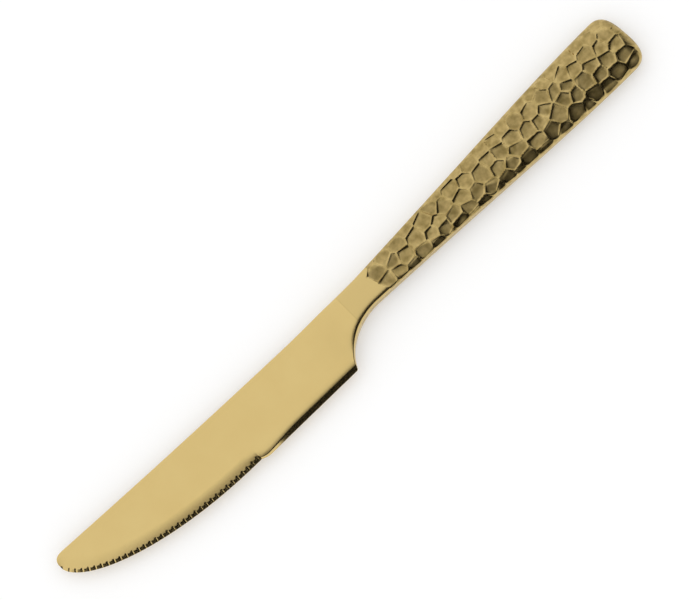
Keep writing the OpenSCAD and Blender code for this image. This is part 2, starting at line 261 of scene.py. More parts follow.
def even_steps(s, y, step):
    """Points at even distances along a line, with the distance of each from its start."""
    run = np.concatenate([[0], np.cumsum(np.hypot(np.diff(s), np.diff(y)))])
    at = np.linspace(0, run[-1], math.ceil(run[-1] / step) + 1)
    return np.interp(at, run, s), np.interp(at, run, y), at


dense_s = mix(NOSE_START, SERRATION_S, np.linspace(0, 1, BELLY_SAMPLES) ** 2)
belly_s, _, _ = even_steps(dense_s, belly_y(dense_s), BELLY_STEP)
plain_end_s = HEEL_S - HEEL_RADIUS
heel_turn = np.linspace(0, HEEL_TURN, HEEL_STATIONS + 1)[1:]
dense_choil_s = np.linspace(CHOIL_S, BLADE_LENGTH, CHOIL_SAMPLES)
choil_s, _, _ = even_steps(dense_choil_s, choil_y(dense_choil_s), CHOIL_STEP)
blade_s = np.concatenate([
    belly_s,
    np.arange(SERRATION_S + BELLY_STEP, SERRATION_S + STEP_RUN, BELLY_STEP),
    np.linspace(SERRATION_S + STEP_RUN, plain_end_s, round((plain_end_s - SERRATION_S) / PLAIN_STEP)),
    plain_end_s + HEEL_RADIUS * np.sin(heel_turn),
    choil_s[1:]])
print("blade stations:", len(blade_s))

# %% [markdown]
# Each blade section is a plate with a ground bevel along the edge and a rounded rim along the spine
# and the choil. The height of a point depends on its true distance from the ground edge and from
# the rims, which a search tree over points on those lines gives. The cheeks swell towards the neck,
# and roll off beside the bevel, by four tenths of a millimetre along the teeth and less along the plain
# edge, as buffing leaves them. The bevel is narrow along the teeth. Behind the step a fresh bevel starts
# thin and widens towards the heel. Each tooth stands between two round grooves, which a grinding wheel
# cuts slanting into the upper cheek only. They get smaller towards the nose.

# %% Blade sections
RIM_RADIUS, RIM_ROLL = 0.35, 0.05
BEVEL_COLUMNS, CHEEK_COLUMNS = 32, 14
RIM_COLUMNS = np.array([0, 0.02, 0.06, 0.12, 0.2, 0.3, 0.45, 0.7, 1.1])
BEVEL_REACH, NARROW_SHARE, COLUMN_POWER = 4.2, 0.42, 1.45
ROLL_WIDTH, TOOTH_ROLL_POWER, PLAIN_ROLL_POWER = 3.0, 1.3, 3.0
PLAIN_ROLL_SHARE, ROLL_LEAD = 0.6, 5
STEP_BEVEL_SHARE, STEP_BEVEL_RUN = 0.35, 14
CREASE_BLEND = 0.08
LEAST_HALF = 0.01
GROUND_PAST_HEEL = 3
TOOTH_PITCH, GROOVE_RADIUS = 1.85, 0.6
GROOVE_DEPTH, GROOVE_LENGTH = 0.16, 1.9
NOSE_GROOVE_DEPTH, NOSE_GROOVE_LENGTH = 0.11, 1.7


def distance_to(line_s, line_y, s, y):
    """Distance of each point to a line of points, and the place of the nearest one in that line."""
    tree = kdtree.KDTree(len(line_s))
    for k, point in enumerate(zip(line_s, line_y)):
        tree.insert((*point, 0), k)
    tree.balance()
    found = [tree.find((a, b, 0))[1:] for a, b in zip(s.ravel(), y.ravel())]
    place, distance = np.array(found).T
    return distance.reshape(s.shape), place.astype(int).reshape(s.shape)


def soft_min(a, b, blend):
    """The lesser of two heights, with a small round where they meet."""
    overlap = np.clip(blend - np.abs(a - b), 0, None) / blend
    return np.minimum(a, b) - overlap ** 2 * blend / 4


# %% Blade grid
back, edge = back_y(blade_s), edge_y(blade_s)
slope = np.where(blade_s < SERRATION_S, np.gradient(edge, blade_s), 0)
stretch = np.sqrt(1 + slope ** 2)
width = back - edge
bevel_reach = np.minimum(BEVEL_REACH * stretch, NARROW_SHARE * width)
rim_scale = np.minimum(1, NARROW_SHARE * width / RIM_COLUMNS[-1])

run_s, run_y, belly_at = even_steps(dense_s[::-1], belly_y(dense_s[::-1]), OUTLINE_STEP)
plain_s = np.arange(SERRATION_S, HEEL_S + GROUND_PAST_HEEL, OUTLINE_STEP)
ground_s = np.concatenate([run_s, plain_s])
ground_y = np.concatenate([run_y, plain_edge_y(plain_s)])
teeth = int(belly_at[-1] // TOOTH_PITCH)
tooth_offset = (belly_at / TOOTH_PITCH % 1 - 0.5) * TOOTH_PITCH
tooth_offset[belly_at > teeth * TOOTH_PITCH] = TOOTH_PITCH / 2
ground_offset = np.concatenate([tooth_offset, np.full(len(plain_s), TOOTH_PITCH / 2)])
spine_s = np.concatenate([dense_s, np.arange(SERRATION_S, BLADE_LENGTH, OUTLINE_STEP)])
lower_s, lower_y, _ = even_steps(blade_s[blade_s > plain_end_s], edge[blade_s > plain_end_s], OUTLINE_STEP)
rim_s, rim_y = np.concatenate([spine_s, lower_s]), np.concatenate([back_y(spine_s), lower_y])

rim_part = back[:, None] - RIM_COLUMNS * rim_scale[:, None]
bevel_part = edge[:, None] + bevel_reach[:, None] * np.linspace(1, 0, BEVEL_COLUMNS) ** COLUMN_POWER
cheek_share = np.linspace(0, 1, CHEEK_COLUMNS + 2)[1:-1]
cheek_part = mix(rim_part[:, -1:], bevel_part[:, :1], cheek_share)
y = np.concatenate([rim_part, cheek_part, bevel_part], axis=1)
s = np.broadcast_to(blade_s[:, None], y.shape)
print("blade columns:", y.shape[1], "teeth:", teeth)

# %% Blade surface
ground_distance, nearest = distance_to(ground_s, ground_y, s, y)
rim_distance, _ = distance_to(rim_s, rim_y, s, y)
swell_fade = HEEL_DROP + NECK_WIDTH / 2
swell = smooth_step((s - SWELL_S) / BOLSTER_LENGTH) * smooth_step(
    (y + HEEL_DROP - BEVEL_WIDTH) / (swell_fade - BEVEL_WIDTH))
cheek = BLADE_THICKNESS / 2 + (NECK_THICKNESS - BLADE_THICKNESS) / 2 * swell
plain_share = smooth_step((s - SERRATION_S + ROLL_LEAD) / BEVEL_RUN)
fresh_share = mix(STEP_BEVEL_SHARE, 1, smooth_step((s - SERRATION_S) / STEP_BEVEL_RUN))
fresh_grind = np.where(s > SERRATION_S, fresh_share, 1)
bevel_width = mix(TOOTH_BEVEL_WIDTH, BEVEL_WIDTH, plain_share) * fresh_grind
half_edge = mix(TOOTH_THICKNESS, EDGE_THICKNESS, plain_share) / 2
cheek_roll = CHEEK_ROLL * mix(1, PLAIN_ROLL_SHARE, plain_share)
bevel_slope = (BLADE_THICKNESS / 2 - cheek_roll - half_edge) / bevel_width
bevel = half_edge + bevel_slope * ground_distance
roll_power = mix(TOOTH_ROLL_POWER, PLAIN_ROLL_POWER, plain_share)
rolled = cheek - cheek_roll * np.clip(1 - (ground_distance - bevel_width) / ROLL_WIDTH, 0, None) ** roll_power
in_rim = np.clip(RIM_RADIUS - rim_distance, 0, None)
rim_roll = RIM_ROLL * np.clip(1 - rim_distance / ROLL_WIDTH, 0, None) ** 2
rim = cheek - rim_roll - RIM_RADIUS + np.sqrt(RIM_RADIUS ** 2 - in_rim ** 2)
plate = np.minimum(soft_min(rolled, bevel, CREASE_BLEND), rim)

reach = side_reach(s, y)
neck_share = np.clip(np.abs(y) / reach, 0, 1)
neck = half_height(s) * (1 - neck_share ** NECK_SQUARENESS) ** (1 / NECK_SQUARENESS)
half = np.maximum(mix(plate, neck, smooth_step((s - HEEL_S) / (BLADE_LENGTH - HEEL_S))), LEAST_HALF)
from_nose = np.clip(s / SERRATION_S, 0, 1)
groove_floor = TOOTH_THICKNESS / 2 - mix(NOSE_GROOVE_DEPTH, GROOVE_DEPTH, from_nose)
groove_climb = (BLADE_THICKNESS / 2 - groove_floor) / mix(NOSE_GROOVE_LENGTH, GROOVE_LENGTH, from_nose)
off_middle = np.minimum(np.abs(ground_offset[nearest]), GROOVE_RADIUS)
wall = (GROOVE_RADIUS - np.sqrt(GROOVE_RADIUS ** 2 - off_middle ** 2)) * np.hypot(1, groove_climb)
in_groove = (s <= SERRATION_S) & (off_middle < GROOVE_RADIUS)
groove = np.where(in_groove, groove_floor + groove_climb * ground_distance + wall, np.inf)
upper = np.maximum(np.minimum(half, groove), LEAST_HALF - half)
blade_rings = np.concatenate([
    np.stack([s, y, upper], axis=2), np.stack([s, y, -half], axis=2)[:, ::-1]], axis=1)
print("blade thickness in mm from", round(2 * half.min(), 2), "to", round(2 * half.max(), 2))

# %% [markdown]
# Behind the cross seam the blade goes on inside the handle: a spigot that plugs the mouth of the
# shells, and a flat tang that the cement holds. They never show, but the piece is closed and whole
# with them, as it would be on the bench.

# %% Blade piece
SPIGOT_LENGTH, TANG_LENGTH = 4, 36
TANG_WIDTH, TANG_END_WIDTH, TANG_THICKNESS, TANG_SQUARENESS = 5, 3.4, 2, 10
TANG_S = BLADE_LENGTH + SPIGOT_LENGTH
BLADE_CRISP = 50
share = np.sign(y[-1]) * neck_share[-1]


def inner_ring(at_s, spine_reach, edge_reach, height, square):
    """A ring of the spigot or the tang, with the points spread as in the blade's last ring."""
    ring_y = share * np.where(share > 0, spine_reach, edge_reach)
    ring_z = np.maximum(height * (1 - np.abs(share) ** square) ** (1 / square), LEAST_HALF)
    ring_s = np.full(len(share), at_s)
    top = np.stack([ring_s, ring_y, ring_z], axis=1)
    return np.concatenate([top, (top * [1, 1, -1])[::-1]])


inset = WALL + BOND_GAP
spigot_size = (NECK_WIDTH / 2 - inset, -edge[-1] - inset, NECK_THICKNESS / 2 - inset, NECK_SQUARENESS)
tang_end_s = TANG_S + TANG_LENGTH
inner_rings = [
    inner_ring(BLADE_LENGTH, *spigot_size),
    inner_ring(TANG_S, *spigot_size),
    inner_ring(TANG_S, TANG_WIDTH / 2, TANG_WIDTH / 2, TANG_THICKNESS / 2, TANG_SQUARENESS),
    inner_ring(tang_end_s, TANG_END_WIDTH / 2, TANG_END_WIDTH / 2, TANG_THICKNESS / 2, TANG_SQUARENESS),
    inner_ring(tang_end_s + TANG_END_WIDTH / 4, TANG_END_WIDTH / 4, TANG_END_WIDTH / 4,
               TANG_THICKNESS / 2, TANG_SQUARENESS)]
blade = loft("blade_polished", np.concatenate([blade_rings, np.array(inner_rings)]))
keep_crisp(blade, BLADE_CRISP)
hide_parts("blade")

# %% [markdown]
# The hammering: a punch is struck over the handle in a loose, staggered order, always a little aslant.
# Each blow leaves a flat floor with a gentle wall towards the spine and a steep one opposite, and sharp
# crests stay between neighbouring marks. The gentle walls get steeper towards the spine's rim. A point
# belongs to the mark that is nearest to it. Some blows are harder and reach a little further, which
# bends the borders, and a sum over all neighbours rounds the corners of the floors. A bump texture
# would leave the outline and the real shape flat, so the marks are modelled.

# %% Hammer marks
MARK_LENGTH, MARK_WIDTH, MARK_SCATTER = 4.2, 3.9, 1.2
NECK_MARK_DEPTH, BUTT_MARK_DEPTH, DEEPEST_MARK, CREST_DROP = 0.36, 0.48, 0.7, 0.055
# Widths of the gentle wall, of the same wall at the spine's rim, and of the steep wall
GENTLE_SIDE, SPINE_SIDE, STEEP_SIDE = 1.1, 0.3, 0.3
PUNCH_TURN = math.radians(27)
CORNER_POWER, LEAST_BORDER = 2.1, 1e-4
BLOW_SCATTER = 0.2
# Crests between struck marks start this far into the colour ramp from crest to floor, so they take a little
# of the floors' darker, painted-shade colour
STRUCK_CREST_SHARE = 0.08
FLOOR_TILT = 0.12
RIM_FADE_POWER = 16
SLOPE_STEP = 0.05
RIM_LIMIT = 0.94
FOOT_SIDE_SHARE, FOOT_BUTT_SHARE = 0.9, 0.06
ROW_TURN, COLUMN_TURN, FACE_TURN, SCATTER_GAIN = 127.1, 311.7, 74.7, 43758.5453
PLACE_SHIFT, TILT_SHIFT, REACH_SHIFT = 40, 80, 120


def scatter(i, j, face):
    """A number from 0 to 1 that looks random and is the same in every run."""
    value = np.sin(np.radians(i * ROW_TURN + j * COLUMN_TURN + face * FACE_TURN)) * SCATTER_GAIN
    return value - np.floor(value)


def mark_seeds(face):
    """Places, tilts and extra reach of the marks; the first row lies on the smooth neck, not struck.

    The shifts of i and j give each use of scatter numbers of its own.
    """
    rows = math.ceil((TOTAL_LENGTH - HAMMERED_S) / MARK_LENGTH) + 2
    side = math.ceil(BUTT_WIDTH / 2 / MARK_WIDTH) + 1
    i, j = [grid.ravel() for grid in np.meshgrid(np.arange(rows), np.arange(-side, side + 1))]
    seed_s = HAMMERED_S + (i - 0.5) * MARK_LENGTH + MARK_SCATTER * (2 * scatter(i, j, face) - 1)
    seed_y = (j + (i % 2) / 2) * MARK_WIDTH + MARK_SCATTER * (2 * scatter(j + PLACE_SHIFT, i, face) - 1)
    tilt_s = FLOOR_TILT * (2 * scatter(i + TILT_SHIFT, j, face) - 1)
    tilt_y = FLOOR_TILT * (2 * scatter(i, j + TILT_SHIFT, face) - 1)
    extra = BLOW_SCATTER * (2 * scatter(j + REACH_SHIFT, i + PLACE_SHIFT, face) - 1)
    return np.stack([seed_s, seed_y, tilt_s, tilt_y, extra])


def surface_z(s, y):
    """Height of the unhammered handle over a point in plan, kept just inside the rim."""
    u = np.minimum(np.abs(y) / half_width(s), RIM_LIMIT)
    return half_height(s) * (1 - u ** squareness(s)) ** (1 / squareness(s))


def hammered(s, y, z, share, face):
    """New heights of surface points, and how far each lies inside its mark, from crest 0 to floor 1."""
    seed_s, seed_y, tilt_s, tilt_y, extra = mark_seeds(face)
    away = np.hypot(s[..., None] - seed_s, y[..., None] - seed_y) - extra
    own = away.argmin(axis=-1)
    step_s, step_y = seed_s - seed_s[own][..., None], seed_y - seed_y[own][..., None]
    apart = np.hypot(step_s, step_y)
    apart = np.where(apart > 0, apart, np.inf)
    border = (away - away.min(axis=-1, keepdims=True)) / 2
    border = np.where(np.isinf(apart), np.inf, border)
    facing = (step_y * math.cos(PUNCH_TURN) - step_s * math.sin(PUNCH_TURN)) / apart
    spineward = np.clip(seed_y[own] / half_width(s), 0, 1)
    gentle = mix(GENTLE_SIDE, SPINE_SIDE, spineward)
    side = mix(STEEP_SIDE, gentle[..., None], (1 + facing) / 2)
    closeness = (np.maximum(border / side, LEAST_BORDER) ** -CORNER_POWER).sum(axis=-1)
    struck = seed_s[own] > HAMMERED_S
    inside = np.minimum(closeness ** (-1 / CORNER_POWER), 1) * struck
    depth_share = 1 - (1 - inside) ** 2

    foot_s = np.minimum(seed_s, TOTAL_LENGTH - BUTT_ROUND * FOOT_BUTT_SHARE)
    foot_reach = FOOT_SIDE_SHARE * half_width(foot_s)
    foot_y = np.clip(seed_y, -foot_reach, foot_reach)
    level = surface_z(foot_s, foot_y)
    slope_s = (level - surface_z(foot_s - SLOPE_STEP, foot_y)) / SLOPE_STEP + tilt_s
    slope_y = (surface_z(foot_s, foot_y + SLOPE_STEP) - surface_z(foot_s, foot_y - SLOPE_STEP)) / (
        2 * SLOPE_STEP) + tilt_y
    plane = level[own] + slope_s[own] * (s - foot_s[own]) + slope_y[own] * (y - foot_y[own])
    depth = mix(NECK_MARK_DEPTH, BUTT_MARK_DEPTH, taper_share(s))
    floor = np.minimum(plane - depth, z - depth / 2)
    rim_fade = 1 - np.abs(share) ** RIM_FADE_POWER
    crest = CREST_DROP * smooth_step((s - HAMMERED_S) / MARK_LENGTH)
    drop = mix(crest, z - floor, depth_share) * rim_fade
    return z - np.clip(drop, 0, DEEPEST_MARK), mix(STRUCK_CREST_SHARE * struck, 1, inside) * rim_fade


print("marks on each face:", mark_seeds(0).shape[1])

# %% [markdown]
# A shell is a loft of thin half rings: over the outside from the spine rim to the edge rim, then back
# along the inside. The outer points of a ring are spread evenly along the section's own length, so
# the steep sides get as many as the flat top. The lower shell is the same pressing turned over, with
# its own pattern of blows.

# %% Handle shells
OUTER_COLUMNS, INNER_COLUMNS = 150, 24
NECK_STEP, MARK_STEP, BUTT_STATIONS = 0.45, 0.16, 48
BUTT_LAST = math.radians(88.5)
SECTION_SAMPLES = 600
SEAM_ROUND = 0.05
RIM_Z = BRAZE / 2
HANDLE_CRISP = 60

butt_turn = np.linspace(0, BUTT_LAST, BUTT_STATIONS + 1)
marks_from_s = HAMMERED_S - MARK_SCATTER
shell_s = np.concatenate([
    np.arange(MOUTH_S, marks_from_s, NECK_STEP),
    np.arange(marks_from_s, WIDEST_S - MARK_STEP / 2, MARK_STEP),
    WIDEST_S + BUTT_ROUND * np.sin(butt_turn) ** (2 / BUTT_POWER)])


def section(at_s, inset, columns):
    """Shares across and heights over the seam plane, spread evenly along a half section."""
    turn = np.linspace(0, math.pi, SECTION_SAMPLES)
    power = 2 / squareness(at_s)
    u = np.sign(np.cos(turn)) * np.abs(np.cos(turn)) ** power
    rise = (half_height(at_s) - inset * butt_close(at_s)) * np.sin(turn) ** power
    spread = (half_width(at_s) - inset * butt_close(at_s)) * u
    kept = rise >= RIM_Z
    run = np.concatenate([[0], np.cumsum(np.hypot(np.diff(spread[kept]), np.diff(rise[kept])))])
    at = np.linspace(0, run[-1], columns)
    return np.interp(at, run, u[kept]), np.interp(at, run, rise[kept])


print("shell stations:", len(shell_s))


# %% Shell pieces
def shell(name, face):
    """One pressed half with its own blows; face 0 is the upper half and 1 the lower."""
    outer_share, outer_z = np.array([section(at, 0, OUTER_COLUMNS) for at in shell_s]).transpose(1, 0, 2)
    inner_share, inner_z = np.array([section(at, WALL, INNER_COLUMNS) for at in shell_s]).transpose(1, 0, 2)
    stations = shell_s[:, None]
    past = np.clip((stations - WIDEST_S) / BUTT_ROUND, 0, 1)
    outer_y = outer_share * side_reach(stations, outer_share)
    outer_s = np.broadcast_to(stations, outer_y.shape)
    dented_z, inside = hammered(outer_s, outer_y, outer_z, outer_share, face)
    outer_z = np.maximum(dented_z, RIM_Z)
    outer_z[:, [0, -1]] = RIM_Z
    outer_y[:, [0, -1]] -= SEAM_ROUND * np.sign(outer_y[:, [0, -1]]) * butt_close(stations)
    thinner = WALL * butt_close(stations)
    inner_y = inner_share * (side_reach(stations, inner_share) - thinner)
    inner_s = np.broadcast_to(stations - WALL * past, inner_y.shape)
    inner_z[:, [0, -1]] = RIM_Z
    rings = np.concatenate([
        np.stack([slanted(outer_s, outer_y), outer_y, outer_z], axis=2),
        np.stack([slanted(inner_s, inner_y), inner_y, inner_z], axis=2)[:, ::-1]], axis=1)
    if face:
        rings = rings[:, ::-1] * [1, 1, -1]
        inside = inside[:, ::-1]
    piece = loft(name, rings, outer_points=INNER_COLUMNS if face else OUTER_COLUMNS)
    in_mark = np.zeros(rings.shape[:2])
    first = INNER_COLUMNS if face else 0
    in_mark[:, first:first + OUTER_COLUMNS] = inside
    attribute = piece.data.attributes.new("in_mark", "FLOAT", "POINT")
    attribute.data.foreach_set("value", in_mark.ravel().astype(np.float32))
    keep_crisp(piece, HANDLE_CRISP)
    return piece


upper_shell = shell("handle_upper_hammered", 0)
lower_shell = shell("handle_lower_hammered", 1)
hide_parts("handle_upper_shell")
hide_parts("handle_lower_shell")

# %% [markdown]
# The two seams are filled with brazing metal and ground flush: a ribbon along the sides of the handle,
# round its butt, and a ring between the blade and the mouth of the handle. Both are lofts of small
# four-cornered sections, set back by a hundredth or two of a millimetre, so that the joint shows as
# a fine line.

# %% Brazed seams
SEAM_SET_BACK = 0.015
SEAM_COLUMNS = 360
SEAM_CRISP = 40


def seam_side(side, inset):
    """Points along one side of the handle's outline, from the mouth to the butt."""
    past = np.clip((shell_s - WIDEST_S) / BUTT_ROUND, 0, 1)
    seam_y = side * (side_reach(shell_s, side) - inset * butt_close(shell_s))
    return np.stack([slanted(shell_s - inset * past, seam_y), seam_y], axis=1)


def ribbon_ring(outer, inner):
    """Four corners at each place along the ribbon: outside top and bottom, inside bottom and top."""
    corners = [(outer, RIM_Z), (outer, -RIM_Z), (inner, -RIM_Z), (inner, RIM_Z)]
    return np.stack([np.column_stack([line, np.full(len(line), z)]) for line, z in corners], axis=1)


def seam_line(inset):
    return np.concatenate([seam_side(1, inset), seam_side(-1, inset)[::-1]])


seam_braze = loft("handle_seam_brazing", ribbon_ring(seam_line(SEAM_SET_BACK), seam_line(WALL)))
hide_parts("handle_seam_braze")
keep_crisp(seam_braze, SEAM_CRISP)


def neck_ring(at_s, inset):
    """The whole section at the neck as a ring of points."""
    turn = np.linspace(0, 2 * math.pi, SEAM_COLUMNS, endpoint=False)
    power = 2 / NECK_SQUARENESS
    ring_y = np.sign(np.cos(turn)) * np.abs(np.cos(turn)) ** power
    ring_z = np.sign(np.sin(turn)) * np.abs(np.sin(turn)) ** power
    reach = side_reach(at_s, ring_y) - inset
    return np.stack([np.full(len(turn), at_s), ring_y * reach, ring_z * (half_height(at_s) - inset)], axis=1)


neck_corners = [
    (BLADE_LENGTH, SEAM_SET_BACK), (BLADE_LENGTH, WALL), (MOUTH_S, WALL), (MOUTH_S, SEAM_SET_BACK)]
neck_braze = loft("neck_brazing", np.stack([neck_ring(*corner) for corner in neck_corners], axis=1),
                  ring_of_rings=True)
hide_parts("neck_braze")
keep_crisp(neck_braze, SEAM_CRISP)

# %% [markdown]
# Finishes. The steel carries a vapour coating of titanium nitride, which gives it its pale gold colour.
# Colours are written as the eye sees them, in hex, and one function turns them into the linear values
# that the renderer works with. Patterns are sized in millimetres.

# %% Material helpers
def linear(hex_colour):
    """Linear red, green, blue and alpha of a colour written in sRGB hex."""
    channels = [int(hex_colour[k:k + 2], 16) / 255 for k in (1, 3, 5)]
    return [c / 12.92 if c <= 0.04045 else ((c + 0.055) / 1.055) ** 2.4 for c in channels] + [1]


def per_metre(size_mm):
    """Scale of a pattern whose cells have a size in millimetres."""
    return 1 / (size_mm * MM)


def add_node(tree, kind, sockets=None, **settings):
    """Adds one node; a socket takes a plain value or the output of another node."""
    node = tree.nodes.new(kind)
    for name, value in settings.items():
        setattr(node, name, value)
    for name, value in (sockets or {}).items():
        if isinstance(value, bpy.types.NodeSocket):
            tree.links.new(value, node.inputs[name])
        else:
            node.inputs[name].default_value = value
    return node


def new_material(name):
    material = bpy.data.materials.new(name)
    material.use_nodes = True
    material.node_tree.nodes.clear()
    return material, material.node_tree


# %% [markdown]
# The blade is stainless steel, buffed and then coated. Buffing leaves hair lines along the blade that
# are far too fine to show, so they are drawn as long, faint streaks a third of a millimetre wide. They
# soften the mirror to a satin sheen and make its roughness uneven by a few hundredths.

# %% Coated steel, buffed
STREAK_WIDTH, STREAK_LENGTH = 0.35, 14
CLOUD_SIZE = 9


def buffed_steel():
    material, tree = new_material("gold_nitride_coated_steel_buffed")
    place = add_node(tree, "ShaderNodeTexCoord").outputs["Object"]
    stretched = add_node(tree, "ShaderNodeMapping", {"Vector": place, "Scale": (
        per_metre(STREAK_LENGTH), per_metre(STREAK_WIDTH), per_metre(STREAK_WIDTH))})
    streaks = add_node(tree, "ShaderNodeTexNoise", {
        "Vector": stretched.outputs[0], "Scale": 1.0, "Detail": 3.0, "Roughness": 0.6})
    clouds = add_node(tree, "ShaderNodeTexNoise", {
        "Vector": place, "Scale": per_metre(CLOUD_SIZE), "Detail": 2.0})
    colour = add_node(tree, "ShaderNodeMix", {
        0: clouds.outputs["Fac"], 6: linear("#D5BA7A"), 7: linear("#DBC283")}, data_type="RGBA")
    rough = add_node(tree, "ShaderNodeMapRange", {
        "Value": streaks.outputs["Fac"], "From Min": 0.3, "From Max": 0.7, "To Min": 0.2, "To Max": 0.23})
    bump = add_node(tree, "ShaderNodeBump", {
        "Height": streaks.outputs["Fac"], "Strength": 0.02, "Distance": 0.02 * MM})
    shader = add_node(tree, "ShaderNodeBsdfPrincipled", {
        "Base Color": colour.outputs[2], "Metallic": 1.0, "Roughness": rough.outputs[0],
        "Normal": bump.outputs[0]})
    add_node(tree, "ShaderNodeOutputMaterial", {"Surface": shader.outputs[0]})
    return material


blade.data.materials.append(buffed_steel())
print("blade finish:", blade.data.materials[0].name)

# %% [markdown]
# The handle is the same coated steel, but peened. The floors of the marks keep the fine grain of the
# punch, which scatters the light, and their colour is painted a shade deeper: painted shade in the
# hollows of the marks. The crests and the upper walls are burnished smooth and bright by handling.
# Soft clouds of tone, about two millimetres wide, vary the floors. The grain is about a tenth of a
# millimetre on the real metal and is drawn at four tenths, so that it shows.

# %% Coated steel, hammered
GRAIN_SIZE, TONE_SIZE = 0.4, 1.8
CREST_SHARE, WALL_SHARE, FLOOR_SHARE = 0.15, 0.4, 0.75


def hammered_steel():
    material, tree = new_material("gold_nitride_coated_steel_hammered")
    place = add_node(tree, "ShaderNodeTexCoord").outputs["Object"]
    in_mark = add_node(tree, "ShaderNodeAttribute", attribute_name="in_mark").outputs["Fac"]
    # This share carries the painted shade from the crests into the floors of the marks
    painted_shade_share = add_node(tree, "ShaderNodeMapRange", {"Value": in_mark, "From Max": CREST_SHARE}).outputs[0]
    floor_share = add_node(tree, "ShaderNodeMapRange", {
        "Value": in_mark, "From Min": WALL_SHARE, "From Max": FLOOR_SHARE}).outputs[0]
    grain = add_node(tree, "ShaderNodeTexNoise", {
        "Vector": place, "Scale": per_metre(GRAIN_SIZE), "Detail": 4.0, "Roughness": 0.65})
    tone = add_node(tree, "ShaderNodeTexNoise", {
        "Vector": place, "Scale": per_metre(TONE_SIZE), "Detail": 2.0})
    mottle = add_node(tree, "ShaderNodeMapRange", {
        "Value": tone.outputs["Fac"], "From Min": 0.3, "From Max": 0.7})
    # The floors' darker colour is painted shade in the hollows of the marks; the clouds of tone vary it at
    # random
    painted_shade_floor_colour = add_node(tree, "ShaderNodeMix", {
        0: mottle.outputs[0], 6: linear("#9C8752"), 7: linear("#CBB378")}, data_type="RGBA")
    colour = add_node(tree, "ShaderNodeMix", {
        0: painted_shade_share, 6: linear("#D3BA7C"), 7: painted_shade_floor_colour.outputs[2]}, data_type="RGBA")
    grain_rough = add_node(tree, "ShaderNodeMapRange", {
        "Value": grain.outputs["Fac"], "From Min": 0.3, "From Max": 0.7, "To Min": 0.44, "To Max": 0.58})
    rough = add_node(tree, "ShaderNodeMix", {
        0: floor_share, 2: 0.24, 3: grain_rough.outputs[0]}, data_type="FLOAT")
    grain_height = add_node(tree, "ShaderNodeMath", {
        0: grain.outputs["Fac"], 1: floor_share}, operation="MULTIPLY")
    bump = add_node(tree, "ShaderNodeBump", {
        "Height": grain_height.outputs[0], "Strength": 0.6, "Distance": 0.06 * MM})
    shader = add_node(tree, "ShaderNodeBsdfPrincipled", {
        "Base Color": colour.outputs[2], "Metallic": 1.0, "Roughness": rough.outputs[0],
        "Normal": bump.outputs[0]})
    add_node(tree, "ShaderNodeOutputMaterial", {"Surface": shader.outputs[0]})
    return material


hammered_finish = hammered_steel()
for piece in (upper_shell, lower_shell):
    piece.data.materials.append(hammered_finish)
print("handle finish:", hammered_finish.name)

# %% [markdown]
# The brazing metal is a brass alloy, ground flush and coated with the rest. It takes the coating a
# little darker and duller than the steel. The cement inside the handle is a dull grey mix of sand
# and binder, which never shows, but gets its own finish all the same.

# %% Brazing metal and cement
BRAZE_GRAIN, SAND_GRAIN = 0.4, 0.8


def ground_brazing():
    material, tree = new_material("gold_nitride_coated_brass_brazing_ground")
    place = add_node(tree, "ShaderNodeTexCoord").outputs["Object"]
    grain = add_node(tree, "ShaderNodeTexNoise", {
        "Vector": place, "Scale": per_metre(BRAZE_GRAIN), "Detail": 3.0})
    colour = add_node(tree, "ShaderNodeMix", {
        0: grain.outputs["Fac"], 6: linear("#C6AD6E"), 7: linear("#D4BA7B")}, data_type="RGBA")
    rough = add_node(tree, "ShaderNodeMapRange", {
        "Value": grain.outputs["Fac"], "To Min": 0.22, "To Max": 0.28})
    shader = add_node(tree, "ShaderNodeBsdfPrincipled", {
        "Base Color": colour.outputs[2], "Metallic": 1.0, "Roughness": rough.outputs[0]})
    add_node(tree, "ShaderNodeOutputMaterial", {"Surface": shader.outputs[0]})
    return material


def sand_cement():
    material, tree = new_material("sand_filled_handle_cement_cast")
    place = add_node(tree, "ShaderNodeTexCoord").outputs["Object"]
    sand = add_node(tree, "ShaderNodeTexNoise", {
        "Vector": place, "Scale": per_metre(SAND_GRAIN), "Detail": 5.0})
    colour = add_node(tree, "ShaderNodeMix", {
        0: sand.outputs["Fac"], 6: linear("#A49E92"), 7: linear("#CFC8BA")}, data_type="RGBA")
    bump = add_node(tree, "ShaderNodeBump", {
        "Height": sand.outputs["Fac"], "Strength": 0.4, "Distance": 0.1 * MM})
    shader = add_node(tree, "ShaderNodeBsdfPrincipled", {
        "Base Color": colour.outputs[2], "Roughness": 0.9, "Normal": bump.outputs[0]})
    add_node(tree, "ShaderNodeOutputMaterial", {"Surface": shader.outputs[0]})
    return material


brazing_finish = ground_brazing()
for piece in (seam_braze, neck_braze):
    piece.data.materials.append(brazing_finish)
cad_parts["handle_filler"].data.materials.clear()
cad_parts["handle_filler"].data.materials.append(sand_cement())
print("finishes:", sorted(material.name for material in bpy.data.materials if material.users))

# %% [markdown]
# The studio. Polished metal shows its surroundings, so the surroundings are designed: an even white
# tent all round, and one black flag that hangs on the side of the cutting edge, bent round the knife as
# a half cone. Its cloth thins out towards both borders, and it gives the bevel, the teeth and the near
# walls of the marks their dark tones. It hangs clear of the floor and the horizon, so that the blade
# mirrors less of it in low views from behind. The lens looks through it, so camera rays don't see it,
# and neither do diffuse rays, so that it doesn't shade the floor. The floor is white to the camera and
# in reflections, and its own diffuse part still takes the knife's soft shadow.

# %% Studio
FLOOR_SIZE = 12
# Bearings turn from straight off the cutting edge towards the butt; the cloth is solid between two shares
# of the flag's height
FLAG_FROM, FLAG_TO, FLAG_PANELS = math.radians(-70), math.radians(105), 75
FLAG_RADIUS, FLAG_FOOT, FLAG_TOP, FLAG_APEX = 0.443, 0.127, 1.1, 0.01
SOLID_FROM, SOLID_TO, VELVET_GREY = 0.045, 0.454, 0.015
FLOOR_GREY, FLOOR_GLOW = 0.8, 0.22

